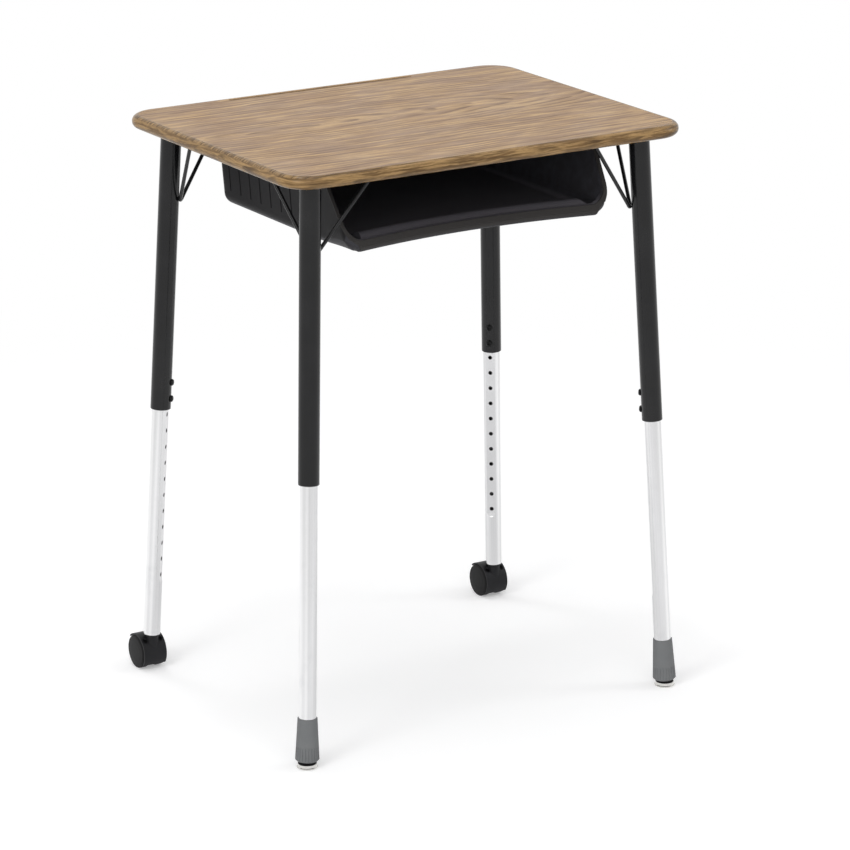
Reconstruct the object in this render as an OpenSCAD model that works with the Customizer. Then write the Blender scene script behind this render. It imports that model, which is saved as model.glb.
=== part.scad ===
// Height-adjustable study desk with a moulded book box, four telescoping legs,
// swivel glides in front and twin-wheel casters at the back. Millimetres, +Z up.
// The seated user looks along +Y. The floor is z = 0.

/* [Top] */
// Height of the writing surface, legs drawn at their longest setting
desk_h = 864; // [850:1:885]
// Width of the top
top_w = 660.4; // [640:0.1:700]
// Depth of the top
top_d = 508; // [495:0.1:560]
// Thickness of the top, and so of its half-round edge
top_t = 19; // [16:0.5:24]
// Radius of the top's corners seen from above
top_corner_r = 48; // [30:1:60]
// Thickness of the decorative laminate and of the backing sheet
laminate_t = 0.8; // [0.6:0.1:1.2]
// Length of the pencil groove
groove_len = 317; // [200:1:400]
// Width of the pencil groove
groove_w = 12; // [10:0.5:14]
// Radius of the cutter that makes the pencil groove
groove_r = 7.5; // [7.1:0.1:14]
// Width of the laminate left between the groove and the edge moulding behind it
groove_land = 1; // [0.5:0.5:50]

/* [Book box] */
// Distance of the box's side wall in from the side of the top
box_side_in = 101.5; // [100:0.1:116]
// Outside height of the book box
box_h = 110.7; // [90:0.1:140]
// Distance of the box's back wall in from the back edge of the top
box_back_in = 92.2; // [90:0.1:130]
// Distance of the front lip's middle in from the front edge of the top
box_front_in = 66; // [60:0.5:84]
// Wall thickness of the book box
box_wall = 3.4; // [3:0.1:4]
// Draft of the walls, from the vertical
box_draft = 4.6; // [2:0.1:6]
// Radius of the lower edges and corners
box_corner_r = 18; // [15:0.5:22]
// Radius of the bow of the front edge, seen from above
bow_r = 920; // [850:5:1200]
// Height of the upright part of the front edge
nose_h = 10.7; // [10:0.1:14]
// Radius between the front edge and the underside
nose_r = 9; // [5:0.5:9.5]
// Lean of the raked side edges, from the vertical
rake = 33.5; // [20:0.5:42]
// Front-to-back width of the rim
rim_w = 9; // [6:0.5:12]
// Width of the rim's face at the sides
rim_t = 5.6; // [4.6:0.1:8]
// Height of the rim's inner edge along the floor
rim_h = 16.8; // [15:0.1:19]
// Radius of the rim's lower inner corners
rim_corner_r = 27; // [20:1:36]
// Height of the crest behind the rim
crest_h = 21.2; // [19:0.1:25]
// Distance of the crest behind the front edge
crest_back = 30; // [26:1:40]
// Length of the slope behind the crest
crest_run = 34; // [20:1:50]
// Distance of the crest's ends in from the box's side walls
crest_in = 43.7; // [38:0.1:80]
// Width of the mounting flange
flange_w = 14; // [12:0.5:15]
// Thickness of the mounting flange
flange_t = 3.2; // [2.5:0.1:4]
// Radius of the flutes in the side walls
flute_r = 1.5; // [0.8:0.1:1.8]
// Spacing of the flutes
flute_pitch = 29.5; // [20:0.5:40]
// Number of flutes on a side
flute_count = 9; // [0:1:9]
// Distance from the back wall to the first flute
flute_from_back = 41.8; // [34:0.1:60]
// Height of the flutes' lower ends above the box's underside
flute_low = 23.7; // [18:0.1:50]

/* [Legs] */
// Distance of a leg's axis, under the top, in from the side of the top
leg_side_in = 55.8; // [46:0.1:60]
// Distance of a leg's axis, under the top, in from the front or back edge
leg_front_in = 53.3; // [48:0.1:58]
// Outward lean of a leg, the same seen from the front and from the side
leg_lean = 2.46; // [0:0.02:3.5]
// Outside diameter of the upper tube
upper_d = 30.5; // [29.5:0.1:34]
// Height of the upper tubes' lower ends above the floor
upper_end_z = 415.8; // [396:0.1:446]
// Outside diameter of the lower tube
lower_d = 25.6; // [24.6:0.1:25.8]
// Radial running clearance between the tubes
tube_gap = 0.25; // [0.15:0.05:0.5]
// Wall of the lower tube
lower_wall = 1.6; // [1.2:0.1:2]
// Length of lower tube inside the upper tube at the drawn setting
leg_overlap = 130; // [100:1:135]
// Depth of the flat pressed along the lower tube
flat_depth = 2.4; // [1.8:0.1:3]
// Radius of the flat's run-out
flat_runout_r = 18; // [8:1:30]
// Diameter of the height holes
hole_d = 6.4; // [5:0.1:7.5]
// Spacing of the height holes
hole_pitch = 25.4; // [20:0.1:26]
// Number of height steps that the leg can be shortened by
hole_steps = 11; // [6:1:11]
// Distance from the upper tube's lower end to the lower height screw
screw_edge = 16; // [12:0.5:24]
// Length of flat beyond the lowest height hole
flat_beyond = 13; // [8:1:20]
// Head diameter of a height screw
height_screw_head = 10; // [6.5:0.1:11]
// Head height of a height screw
height_screw_head_h = 3; // [2:0.1:3.5]
// Shank diameter of a height screw
height_screw_d = 5; // [4:0.1:6]

/* [Braces and plates] */
// Diameter of the brace wire
wire_d = 5.6; // [4:0.1:6.2]
// Depth of the bend's sharp corner below the underside of the top
brace_drop = 113; // [95:1:125]
// Half of the angle between the brace's arms
brace_half = 31.6; // [25:0.1:34]
// Lean of the brace's plane towards the middle of the desk
brace_lean = 20.5; // [15:0.1:24]
// Centreline radius of the bend
bend_r = 5; // [3.5:0.1:8]
// Thickness of the mounting plate
plate_t = 3; // [2:0.1:4]
// Radius of the plate round the leg
plate_leg_r = 23; // [21:0.5:25]
// Radius of the plate round the end of a brace arm
plate_arm_r = 11; // [8:0.5:12]
// Distance from the leg's axis to the first screw of a plate's arm
plate_screw_1 = 40; // [36:1:44]
// Distance from the leg's axis to the second screw of a plate's arm
plate_screw_2 = 68; // [62:1:72]

/* [Wood screws] */
// Shank diameter of the wood screws under the top
wood_screw_d = 3.8; // [3:0.1:4.4]
// Length of wood screw inside the top
wood_screw_in = 12; // [8:0.5:13]
// Head diameter of the wood screws
wood_screw_head = 8; // [6.5:0.1:9]
// Head height of the wood screws
wood_screw_head_h = 2.4; // [1.5:0.1:3]

/* [Front feet] */
// Length of a foot cap along the leg
cap_len = 63.5; // [50:0.5:80]
// Diameter of a foot cap at its top
cap_top_d = 28.6; // [28.2:0.1:32]
// Diameter of a foot cap at its widest
cap_low_d = 34.8; // [33:0.1:38]
// Height of the middle of the cap's underside above the floor
cap_gap = 10.5; // [10:0.1:12]
// Thickness of the cap's bottom, from its underside to the tube's end
cap_floor = 12; // [9:0.5:16]
// Length of the chamfer round the cap's underside
cap_chamfer = 2.6; // [1:0.1:3]
// Number of flutes round a foot cap
cap_flutes = 24; // [12:1:24]
// Length of the flutes of a foot cap
cap_flute_len = 19; // [8:0.5:30]
// Radius of a flute of a foot cap
cap_flute_r = 0.8; // [0.4:0.1:0.9]
// Diameter of the glide base
glide_d = 31; // [29:0.5:34]
// Height of the ball's centre above the floor
ball_z = 6; // [5.5:0.1:6.3]
// Diameter of the ball
ball_d = 9; // [8.4:0.1:9.4]
// Diameter of the glide's cushion washer
washer_d = 27; // [22:0.5:27.5]

/* [Casters] */
// Wheel diameter
wheel_d = 51; // [48:0.5:52]
// Distance of the wheels' axle behind the stem
trail = 17; // [14:0.5:19]
// Overall width of the wheel pair
pair_w = 41; // [38:0.5:46]
// Thickness of the hood's middle web
web_t = 11; // [10.6:0.1:12]
// Side clearance between a wheel and the web
wheel_gap = 0.8; // [0.4:0.1:1]
// Radial clearance between a wheel and the hood
hood_gap = 0.9; // [0.6:0.1:1.5]
// Thickness of the hood's shell
hood_t = 2; // [1.6:0.1:2.6]
// How far a wheel's disc stands outside the hood
disc_out = 1.6; // [1:0.1:2.5]
// Where the hood ends in front, in degrees below the axle
hood_front = 36; // [20:1:45]
// Where the hood ends at the back, in degrees past its top
hood_back = 42; // [20:1:60]
// Diameter of the stem
stem_d = 11; // [10:0.1:12]
// Diameter of the stem's spigot inside the hood
spigot_d = 8; // [7:0.1:8.4]
// Length of stem inside its socket
stem_in = 34; // [25:1:40]
// Diameter of the axle
axle_d = 8; // [6:0.1:9]
// Height of the back tubes' lower ends above the floor
back_tube_z = 57.5; // [57.2:0.1:66]

/* [Hidden] */
$fn = 64;
// Running clearance of turning parts and seat clearance of fixed ones
run_gap = 0.05;
seat_gap = 0.02;
// How much thicker the brace wire is in its bend
bend_swell = 0.12;
under_z = desk_h - top_t;
edge_r = top_t / 2;
core_w = top_w - top_t;
core_d = top_d - top_t;
core_r = top_corner_r - edge_r;

leg_x = top_w / 2 - leg_side_in;
leg_y = top_d / 2 - leg_front_in;
leg_slope = tan(leg_lean);
splay = atan(leg_slope * sqrt(2));
upper_r = upper_d / 2;
lower_r = lower_d / 2;
bore_r = lower_r + tube_gap;
plate_z = under_z - plate_t;
upper_len = (under_z - upper_end_z) / cos(splay);
screw_s = upper_len - screw_edge;
first_hole_s = screw_s + hole_steps * hole_pitch;
flat_end_s = first_hole_s + flat_beyond;
flat_x = lower_r - flat_depth;

box_w = top_w - 2 * box_side_in;
box_back = top_d / 2 - box_back_in;
box_front = top_d / 2 - box_front_in;
box_z = under_z - box_h;
bow_y = -box_front - bow_r;
rake_run = tan(rake) * (box_h - nose_h);
box_side_front = bow_y + sqrt(pow(bow_r + rake_run, 2) - pow(box_w / 2, 2));
crest_len = box_w - 2 * crest_in;
// The lower edges' centre lines: height, distance to each side, and the corners' places
round_z = box_z + box_corner_r;
draft_in = box_corner_r + (under_z - round_z) * tan(box_draft);
round_x = box_w / 2 - draft_in;
round_back = box_back - draft_in;
ring_r = bow_r + box_corner_r;
round_front = bow_y + sqrt(ring_r * ring_r - round_x * round_x);
flange_y1 = box_side_front + 8;

wheel_r = wheel_d / 2;
stem_x = leg_x + leg_slope * (under_z - back_tube_z);
stem_y = leg_y + leg_slope * (under_z - back_tube_z);
hood_in_r = wheel_r + hood_gap;
hood_out_r = hood_in_r + hood_t;
hood_w = pair_w - 2 * disc_out;
boss_top = wheel_r + hood_out_r;
wheel_in = web_t / 2 + wheel_gap;
spigot_z = wheel_r + 6;

// The whole desk is moved so that its outline's middle is at y = 0
back_reach = stem_y + trail + wheel_r;
desk_y = -(back_reach - top_d / 2) / 2;

arm_len = brace_drop / (cos(brace_lean) * cos(brace_half));
arm_end_in = brace_drop * tan(brace_lean);
arm_end_side = arm_len * sin(brace_half);
// Distance from a leg's axis to the wire's middle where its bend is welded on
weld_in = upper_r + wire_d / 2 + bend_swell + seat_gap;
bend_up = bend_r / sin(brace_half) - bend_r;
// Brace corner and arm ends under the top: along and across the inward diagonal
corner_in = weld_in / cos(splay) - (brace_drop - bend_up * cos(brace_lean)) * tan(splay)
    - bend_up * sin(brace_lean);
end_in = corner_in + arm_end_in;

ball_s = (under_z - ball_z) / cos(splay);
cap_s = (under_z - cap_gap) / cos(splay);
foot_x = leg_x + leg_slope * (under_z - ball_z);
foot_y = leg_y + leg_slope * (under_z - ball_z);
front_end_s = cap_s - cap_floor;
// The glide's stud and the collar that is rolled over its ball
stud_r = 4;
neck_r = 3;
glide_top = ball_z + 1;
collar_top = ball_z + 2.4;
collar_r = ball_d / 2 + 1.9;
back_end_s = (under_z - back_tube_z) / cos(splay);

flange_mid = box_w / 2 + flange_w / 2;
side_screw_y = [flange_y1 + 25, (flange_y1 + box_back) / 2, box_back - 20];
box_screw_at = [
    for (s = [-1, 1]) for (y = side_screw_y) [s * flange_mid, y],
    for (s = [-1, 1]) [s * box_w / 4, box_back + flange_w / 2]
];
plate_screw_at = [
    for (sx = [-1, 1]) for (sy = [-1, 1]) for (q = [-1, 1]) for (d = [plate_screw_1, plate_screw_2])
        plate_point(sx, sy, q, d)
];

// A point d along a plate's arm, q = -1 or 1 for its two arms, from the middle of the top
function arm_dir(q) =
    let (v = [end_in, q * arm_end_side])
    v / norm(v);
function turned(sx, sy, v) =
    let (a = atan2(-sy, -sx))
    [v[0] * cos(a) - v[1] * sin(a), v[0] * sin(a) + v[1] * cos(a)];
function plate_point(sx, sy, q, d) = [sx * leg_x, sy * leg_y] + turned(sx, sy, arm_dir(q) * d);

// Places its children in the desk's frame
module placed() {
    translate([0, desk_y, 0])
        children();
}

// Puts its children on a leg: +X faces the middle of the desk, -Z runs down the leg's axis
module on_leg(sx, sy) {
    placed()
        translate([sx * leg_x, sy * leg_y, under_z])
            rotate(a = splay, v = [sy, -sx, 0])
                rotate([0, 0, atan2(-sy, -sx)])
                    children();
}

module rounded_plan(w, d, r) {
    square([w - 2 * r, d], center = true);
    square([w, d - 2 * r], center = true);
    for (sx = [-1, 1])
        for (sy = [-1, 1])
            translate([sx * (w / 2 - r), sy * (d / 2 - r)])
                circle(r = r);
}

// The ball-nosed cut of the pencil groove
module groove_cut() {
    depth = groove_r - sqrt(pow(groove_r, 2) - pow(groove_w / 2, 2));
    reach = groove_len / 2 - groove_w / 2;
    translate([0, core_d / 2 - groove_land - groove_w / 2, desk_h + groove_r - depth]) {
        translate([-reach, 0, 0])
            rotate([0, 90, 0])
                cylinder(h = 2 * reach, r = groove_r);
        for (s = [-1, 1])
            translate([s * reach, 0, 0])
                sphere(r = groove_r);
    }
}

module screw_holes(z, h) {
    for (p = concat(box_screw_at, plate_screw_at))
        translate([p[0], p[1], z])
            cylinder(h = h, r = wood_screw_d / 2 + run_gap);
}

module top_laminate() {
    color("burlywood")
        placed()
            difference() {
                translate([0, 0, desk_h - laminate_t])
                    linear_extrude(laminate_t)
                        rounded_plan(core_w, core_d, core_r);
                groove_cut();
            }
}

module top_core() {
    color("tan")
        placed()
            difference() {
                translate([0, 0, under_z + laminate_t])
                    linear_extrude(top_t - 2 * laminate_t)
                        rounded_plan(core_w, core_d, core_r);
                groove_cut();
                screw_holes(under_z, wood_screw_in + 1);
            }
}

module top_backer() {
    color("dimgray")
        placed()
            difference() {
                translate([0, 0, under_z])
                    linear_extrude(laminate_t)
                        rounded_plan(core_w, core_d, core_r);
                screw_holes(under_z - 1, laminate_t + 2);
            }
}

// Half of a round bar, cut by the upright face that meets the core
module half_round() {
    intersection() {
        circle(r = edge_r);
        translate([0, -edge_r])
            square([edge_r, top_t]);
    }
}

module edge_side(len) {
    rotate([90, 0, 0])
        linear_extrude(len, center = true)
            half_round();
}

module top_edge() {
    color("saddlebrown")
        placed()
            translate([0, 0, under_z + edge_r]) {
                for (s = [0, 180])
                    rotate([0, 0, s]) {
                        translate([core_w / 2, 0, 0])
                            edge_side(core_d - 2 * core_r);
                        rotate([0, 0, 90])
                            translate([core_d / 2, 0, 0])
                                edge_side(core_w - 2 * core_r);
                    }
                for (sx = [0, 1])
                    for (sy = [0, 1])
                        mirror([sx, 0, 0])
                            mirror([0, sy, 0])
                                translate([core_w / 2 - core_r, core_d / 2 - core_r, 0])
                                    rotate_extrude(angle = 90)
                                        translate([core_r, 0])
                                            half_round();
            }
}

// A tray's solid form, its surface inside the box's outside by a distance: rounded below
// and at the back corners, with drafted walls, its front left long
module tray_block(inside, high) {
    r = box_corner_r - inside;
    low = round_z - r;
    high_r = r + (high - round_z) * tan(box_draft);
    for (s = [-1, 1]) {
        translate([s * round_x, round_back, round_z])
            sphere(r = r);
        translate([s * round_x, round_back, round_z])
            cylinder(h = high - round_z, r1 = r, r2 = high_r);
        translate([s * round_x, round_back, round_z])
            rotate([90, 0, 0])
                cylinder(h = 300 + round_back, r = r);
    }
    translate([-round_x, round_back, round_z])
        rotate([0, 90, 0])
            cylinder(h = 2 * round_x, r = r);
    translate([-round_x, -300, low])
        cube([2 * round_x, 300 + round_back, high - low]);
    along_y(-300, round_back)
        polygon([
            [-round_x - r, round_z],
            [round_x + r, round_z],
            [round_x + high_r, high],
            [-round_x - high_r, high]
        ]);
    translate([-round_x, 0, 0])
        rotate([90, 0, 90])
            linear_extrude(2 * round_x)
                polygon([
                    [-300, round_z],
                    [round_back + r, round_z],
                    [round_back + high_r, high],
                    [-300, high]
                ]);
}

// Turns a profile (distance from the bow's centre, height) about the bow's centre
module bowed(angle = 40) {
    translate([0, bow_y, 0])
        rotate([0, 0, 90 - angle / 2])
            rotate_extrude(angle = angle, $fn = 180)
                children();
}

// All that lies in front of the raked front line, moved back by a distance
module before_line(back, low) {
    bowed()
        polygon([
            [bow_r - 150, low],
            [bow_r + back + nose_r, low],
            [bow_r + back + nose_r, box_z],
            [bow_r + back + nose_r * 0.617, box_z + nose_r * 0.076],
            [bow_r + back + nose_r * 0.293, box_z + nose_r * 0.293],
            [bow_r + back + nose_r * 0.076, box_z + nose_r * 0.617],
            [bow_r + back, box_z + nose_r],
            [bow_r + back, box_z + nose_h],
            [bow_r + back + rake_run + 30 * tan(rake), under_z + 30],
            [bow_r - 150, under_z + 30]
        ]);
}

// Rounds the nose's two upright corners, seen from above
module nose_corners() {
    rise = 24;
    for (s = [0, 1])
        mirror([s, 0, 0])
            translate([round_x, round_front, 0])
                difference() {
                    translate([0, -60, box_z - 5])
                        cube([60, 60, box_corner_r + 5 + rise]);
                    translate([0, 0, box_z - 6])
                        cylinder(h = box_corner_r + 6, r = box_corner_r);
                    translate([0, 0, round_z])
                        cylinder(h = rise + 1, r1 = box_corner_r, r2 = box_corner_r + (rise + 1) * tan(box_draft));
                }
}

// The crest behind the rim: a bowed bar with sloping ends
module crest() {
    intersection() {
        bowed()
            polygon([
                [bow_r + rim_w - 1, box_z + 1],
                [bow_r + rim_w - 1, box_z + rim_h],
                [bow_r + rim_w + tan(rake) * (rim_h - nose_h) + 1, box_z + rim_h],
                [bow_r + crest_back - 6, box_z + crest_h - 0.6],
                [bow_r + crest_back, box_z + crest_h],
                [bow_r + crest_back + 5, box_z + crest_h - 1],
                [bow_r + crest_back + crest_run, box_z + box_wall],
                [bow_r + crest_back + crest_run, box_z + 1]
            ]);
        along_y(-300, 0)
            polygon([
                [-crest_len / 2 - crest_h, box_z],
                [crest_len / 2 + crest_h, box_z],
                [crest_len / 2 - 1, box_z + crest_h + 1],
                [-crest_len / 2 + 1, box_z + crest_h + 1]
            ]);
    }
}

// The crest is a shell, open below
module crest_hollow() {
    intersection() {
        bowed()
            polygon([
                [ring_r + 2, box_z - 1],
                [ring_r + 1, box_z + box_wall + 0.4],
                [ring_r - 6, box_z + box_wall + 2.6],
                [bow_r + rim_w + 1, box_z + rim_h - box_wall],
                [bow_r + crest_back - 5, box_z + crest_h - box_wall - 0.6],
                [bow_r + crest_back + 4, box_z + crest_h - box_wall - 0.6],
                [bow_r + crest_back + crest_run - 9, box_z - 1]
            ]);
        along_y(-300, 0)
            polygon([
                [-crest_len / 2 - crest_h + 8, box_z - 2],
                [crest_len / 2 + crest_h - 8, box_z - 2],
                [crest_len / 2 - 5, box_z + crest_h],
                [-crest_len / 2 + 5, box_z + crest_h]
            ]);
    }
}

module along_y(y0, y1) {
    translate([0, y1, 0])
        rotate([90, 0, 0])
            linear_extrude(y1 - y0)
                children();
}

// The opening inside the rim: its sides follow the draft, its lower corners are rounded
module rim_opening() {
    r = rim_corner_r;
    mid_z = box_z + rim_h + r;
    high = under_z + 20;
    half_high = box_w / 2 - rim_t / cos(box_draft) + 20 * tan(box_draft);
    mid_x = half_high - (high - mid_z) * tan(box_draft) - r / cos(box_draft);
    intersection() {
        along_y(-300, 0) {
            polygon([
                [-mid_x, mid_z],
                [mid_x, mid_z],
                [mid_x + r * cos(box_draft), mid_z - r * sin(box_draft)],
                [half_high, high],
                [-half_high, high],
                [-mid_x - r * cos(box_draft), mid_z - r * sin(box_draft)]
            ]);
            translate([-mid_x, box_z + rim_h])
                square([2 * mid_x, r + 1]);
            for (s = [-1, 1])
                translate([s * mid_x, mid_z])
                    circle(r = r);
        }
        before_line(rim_w + 0.5, box_z - 6);
    }
}

// The hollow behind the rim
module box_cavity() {
    difference() {
        tray_block(box_wall, under_z + 10);
        before_line(rim_w, box_z - 5);
        crest();
    }
}

module flange_plan() {
    half = box_w / 2 + flange_w;
    back = box_back + flange_w;
    r = box_w / 2 - round_x + flange_w;
    translate([-half, flange_y1])
        square([2 * half, back - r - flange_y1]);
    translate([-half + r, flange_y1])
        square([2 * half - 2 * r, back - flange_y1]);
    for (s = [-1, 1])
        translate([s * (half - r), back - r])
            circle(r = r);
}

// The flutes lie in the drafted side walls
module flutes() {
    rise = box_h - flange_t - flute_low;
    for (s = [-1, 1])
        for (i = [0 : 1 : flute_count - 1])
            translate([
                s * (box_w / 2 - (box_h - flute_low) * tan(box_draft)),
                box_back - flute_from_back - i * flute_pitch,
                box_z + flute_low
            ])
                rotate([0, s * box_draft, 0])
                    cylinder(h = rise / cos(box_draft), r = flute_r);
}

module book_box() {
    color("#2b2b2d")
        placed()
            difference() {
                union() {
                    tray_block(0, under_z);
                    translate([0, 0, under_z - flange_t])
                        linear_extrude(flange_t)
                            flange_plan();
                }
                box_cavity();
                rim_opening();
                before_line(0, box_z - 7);
                nose_corners();
                crest_hollow();
                flutes();
                for (p = box_screw_at)
                    translate([p[0], p[1], under_z - flange_t - 1])
                        cylinder(h = flange_t + 2, r = wood_screw_d / 2 + 0.3);
            }
}

// A pan-headed wood screw driven up from z, the face that its head bears on
module wood_screw(x, y, z) {
    translate([x, y, z]) {
        translate([0, 0, -0.01])
            cylinder(h = under_z - z + wood_screw_in, r = wood_screw_d / 2);
        translate([0, 0, -wood_screw_head_h * 0.5])
            cylinder(h = wood_screw_head_h * 0.5, r = wood_screw_head / 2);
        translate([0, 0, -wood_screw_head_h])
            cylinder(h = wood_screw_head_h * 0.5, r1 = wood_screw_head / 2 - 1.2, r2 = wood_screw_head / 2);
    }
}

module box_screws() {
    color("silver")
        placed()
            for (p = box_screw_at)
                wood_screw(p[0], p[1], under_z - flange_t);
}

module plate_screws() {
    color("silver")
        placed()
            for (p = plate_screw_at)
                wood_screw(p[0], p[1], plate_z);
}

// A plate arm: its round end, and straight sides that stop just inside the two rounds
module plate_arm(len, r1, r2) {
    a = acos((r1 - r2) / len);
    in1 = r1 - 0.08;
    in2 = r2 - 0.08;
    translate([len, 0, 0])
        cylinder(h = plate_t, r = r2);
    linear_extrude(plate_t)
        polygon([
            [0, 0],
            [in1 * cos(a), in1 * sin(a)],
            [len + in2 * cos(a), in2 * sin(a)],
            [len + in2 * cos(a), -in2 * sin(a)],
            [in1 * cos(a), -in1 * sin(a)]
        ]);
}

module mount_plate(sx, sy) {
    reach = norm([end_in, arm_end_side]);
    color("#303032")
        placed()
            difference() {
                translate([sx * leg_x, sy * leg_y, plate_z])
                    rotate([0, 0, atan2(-sy, -sx)]) {
                        cylinder(h = plate_t, r = plate_leg_r);
                        for (q = [-1, 1])
                            rotate([0, 0, q * atan2(arm_end_side, end_in)])
                                plate_arm(reach, plate_leg_r, plate_arm_r);
                    }
                for (q = [-1, 1])
                    for (d = [plate_screw_1, plate_screw_2])
                        translate(concat(plate_point(sx, sy, q, d), plate_z - 1))
                            cylinder(h = plate_t + 2, r = wood_screw_d / 2 + 0.3);
            }
}

// Everything of a leg part that would stand above the plate's underside
module above_plate() {
    placed()
        translate([-top_w, -top_d, plate_z])
            cube([2 * top_w, 2 * top_d, 120]);
}

module upper_leg(sx, sy) {
    color("#303032")
        difference() {
            on_leg(sx, sy)
                difference() {
                    translate([0, 0, -upper_len])
                        cylinder(h = upper_len + 10, r = upper_r);
                    translate([0, 0, -upper_len - 1])
                        cylinder(h = upper_len + 20, r = bore_r);
                    for (i = [0, 1])
                        translate([0, 0, -screw_s + i * hole_pitch])
                            rotate([0, 90, 0])
                                cylinder(h = upper_d, r = height_screw_d / 2 + run_gap);
                }
            above_plate();
        }
}

module leg_brace(sx, sy) {
    turn = 180 - 2 * brace_half;
    start = bend_r / tan(brace_half);
    color("#303032")
        difference() {
            placed()
                translate([sx * leg_x, sy * leg_y, under_z - brace_drop])
                    rotate([0, 0, atan2(-sy, -sx)])
                        translate([corner_in, 0, 0])
                            rotate([0, brace_lean, 0]) {
                                translate([0, 0, bend_r / sin(brace_half)])
                                    rotate([0, 90, 0])
                                        rotate([0, 0, -turn / 2])
                                            rotate_extrude(angle = turn)
                                                translate([bend_r, 0])
                                                    circle(r = wire_d / 2 + bend_swell);
                                for (q = [-1, 1])
                                    rotate([-q * brace_half, 0, 0])
                                        translate([0, 0, start - 0.6])
                                            cylinder(h = arm_len - start + 10.6, r = wire_d / 2);
                            }
            above_plate();
        }
}

// Two screws a leg. They are drawn backed off, with their tips just clear of the flat
module height_screws() {
    color("#202022")
        for (sx = [-1, 1])
            for (sy = [-1, 1])
                for (i = [0, 1])
                    on_leg(sx, sy)
                        translate([0, 0, -screw_s + i * hole_pitch])
                            rotate([0, 90, 0])
                                height_screw();
}

module height_screw() {
    tip = flat_x + 0.35;
    head_h = height_screw_head_h;
    translate([0, 0, tip])
        cylinder(h = upper_r + 0.5 - tip, r = height_screw_d / 2);
    difference() {
        union() {
            translate([0, 0, upper_r + run_gap])
                cylinder(h = head_h * 0.5, r = height_screw_head / 2);
            translate([0, 0, upper_r + run_gap + head_h * 0.5])
                cylinder(h = head_h * 0.5, r1 = height_screw_head / 2, r2 = height_screw_head / 2 - 1.3);
        }
        translate([0, 0, upper_r + head_h - 1.4])
            cylinder(h = 3, r = 2, $fn = 6);
    }
}

// Half-plane that leaves a tube section its flat
module flat_side(r, x) {
    intersection() {
        circle(r = r);
        translate([-r - 1, -r - 1])
            square([r + 1 + x, 2 * r + 2]);
    }
}

module lower_leg(sx, sy, end_s) {
    top_s = upper_len - leg_overlap;
    run = sqrt(2 * flat_runout_r * flat_depth - flat_depth * flat_depth);
    color("#dcdcde")
        on_leg(sx, sy)
            difference() {
                translate([0, 0, -end_s])
                    cylinder(h = end_s - top_s, r = lower_r);
                translate([0, 0, -end_s - 1])
                    cylinder(h = end_s - flat_end_s + 1.01, r = lower_r - lower_wall);
                translate([0, 0, -flat_end_s])
                    linear_extrude(flat_end_s - top_s + 1)
                        flat_side(lower_r - lower_wall, flat_x - lower_wall);
                translate([flat_x, -lower_r - 1, -flat_end_s + run])
                    cube([lower_r, lower_d + 2, flat_end_s - run - top_s + 1]);
                intersection() {
                    translate([flat_x + flat_runout_r, lower_r + 1, -flat_end_s + run])
                        rotate([90, 0, 0])
                            cylinder(h = lower_d + 2, r = flat_runout_r);
                    translate([flat_x - 1, -lower_r - 1, -flat_end_s - 1])
                        cube([lower_r, lower_d + 2, run + 1.01]);
                }
                for (k = [0 : 1 : hole_steps + 1])
                    translate([0, 0, -first_hole_s + k * hole_pitch])
                        rotate([0, 90, 0])
                            cylinder(h = lower_d, r = hole_d / 2);
            }
}

module foot_cap(sx, sy) {
    top_r = cap_top_d / 2;
    low_r = cap_low_d / 2;
    side = atan((low_r - top_r) / (cap_len - cap_chamfer));
    color("#737577")
        on_leg(sx, sy)
            translate([0, 0, -cap_s])
                difference() {
                    union() {
                        cylinder(h = cap_chamfer, r1 = low_r - cap_chamfer, r2 = low_r);
                        translate([0, 0, cap_chamfer])
                            cylinder(h = cap_len - cap_chamfer, r1 = low_r, r2 = top_r);
                    }
                    translate([0, 0, cap_floor])
                        cylinder(h = cap_len, r = lower_r + seat_gap);
                    translate([0, 0, -1])
                        cylinder(h = cap_floor + 2, r = stud_r + seat_gap);
                    for (i = [0 : 1 : cap_flutes - 1])
                        rotate([0, 0, (i + 0.5) * 360 / cap_flutes])
                            translate([low_r, 0, cap_chamfer])
                                rotate([0, -side, 0])
                                    translate([0, 0, -cap_chamfer - 2])
                                        cylinder(h = cap_flute_len + cap_chamfer + 2, r = cap_flute_r);
                }
}

// The stud: ball, thin neck, and the shank that is pressed through the cap's bottom
module glide_stud(sx, sy) {
    shank_s = cap_s;
    color("silver")
        on_leg(sx, sy)
            translate([0, 0, -ball_s]) {
                sphere(r = ball_d / 2);
                cylinder(h = ball_s - shank_s + 0.5, r = neck_r);
                translate([0, 0, ball_s - shank_s])
                    cylinder(h = cap_floor + 4, r = stud_r);
                translate([0, 0, ball_s - shank_s + cap_floor])
                    cylinder(h = 2.5, r = stud_r + 3);
            }
}

module on_foot(sx, sy) {
    placed()
        translate([sx * foot_x, sy * foot_y, 0])
            children();
}

module glide_base(sx, sy) {
    r = glide_d / 2;
    color("gainsboro")
        on_foot(sx, sy)
            difference() {
                rotate_extrude()
                    polygon([
                        [0, 0],
                        [r - 1.5, 0],
                        [r - 0.3, 0.7],
                        [r, 1.6],
                        [r - 0.2, 2.5],
                        [r - 1.2, 3.1],
                        [r - 1.4, 5],
                        [r - 2, glide_top - 0.4],
                        [r - 2.6, glide_top],
                        [collar_r, glide_top],
                        [collar_r - 0.5, collar_top],
                        [0, collar_top]
                    ]);
                translate([0, 0, ball_z])
                    sphere(r = ball_d / 2 + run_gap);
                translate([0, 0, ball_z])
                    cylinder(h = 10, r = neck_r + 0.9);
            }
}

module glide_washer(sx, sy) {
    color("#2a2a2c")
        on_foot(sx, sy)
            rotate_extrude()
                polygon([
                    [collar_r + 0.1, glide_top],
                    [washer_d / 2, glide_top],
                    [washer_d / 2, glide_top + 0.2],
                    [collar_r + 1, collar_top + 0.2],
                    [collar_r + 0.1, collar_top + 0.2]
                ]);
}

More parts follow.
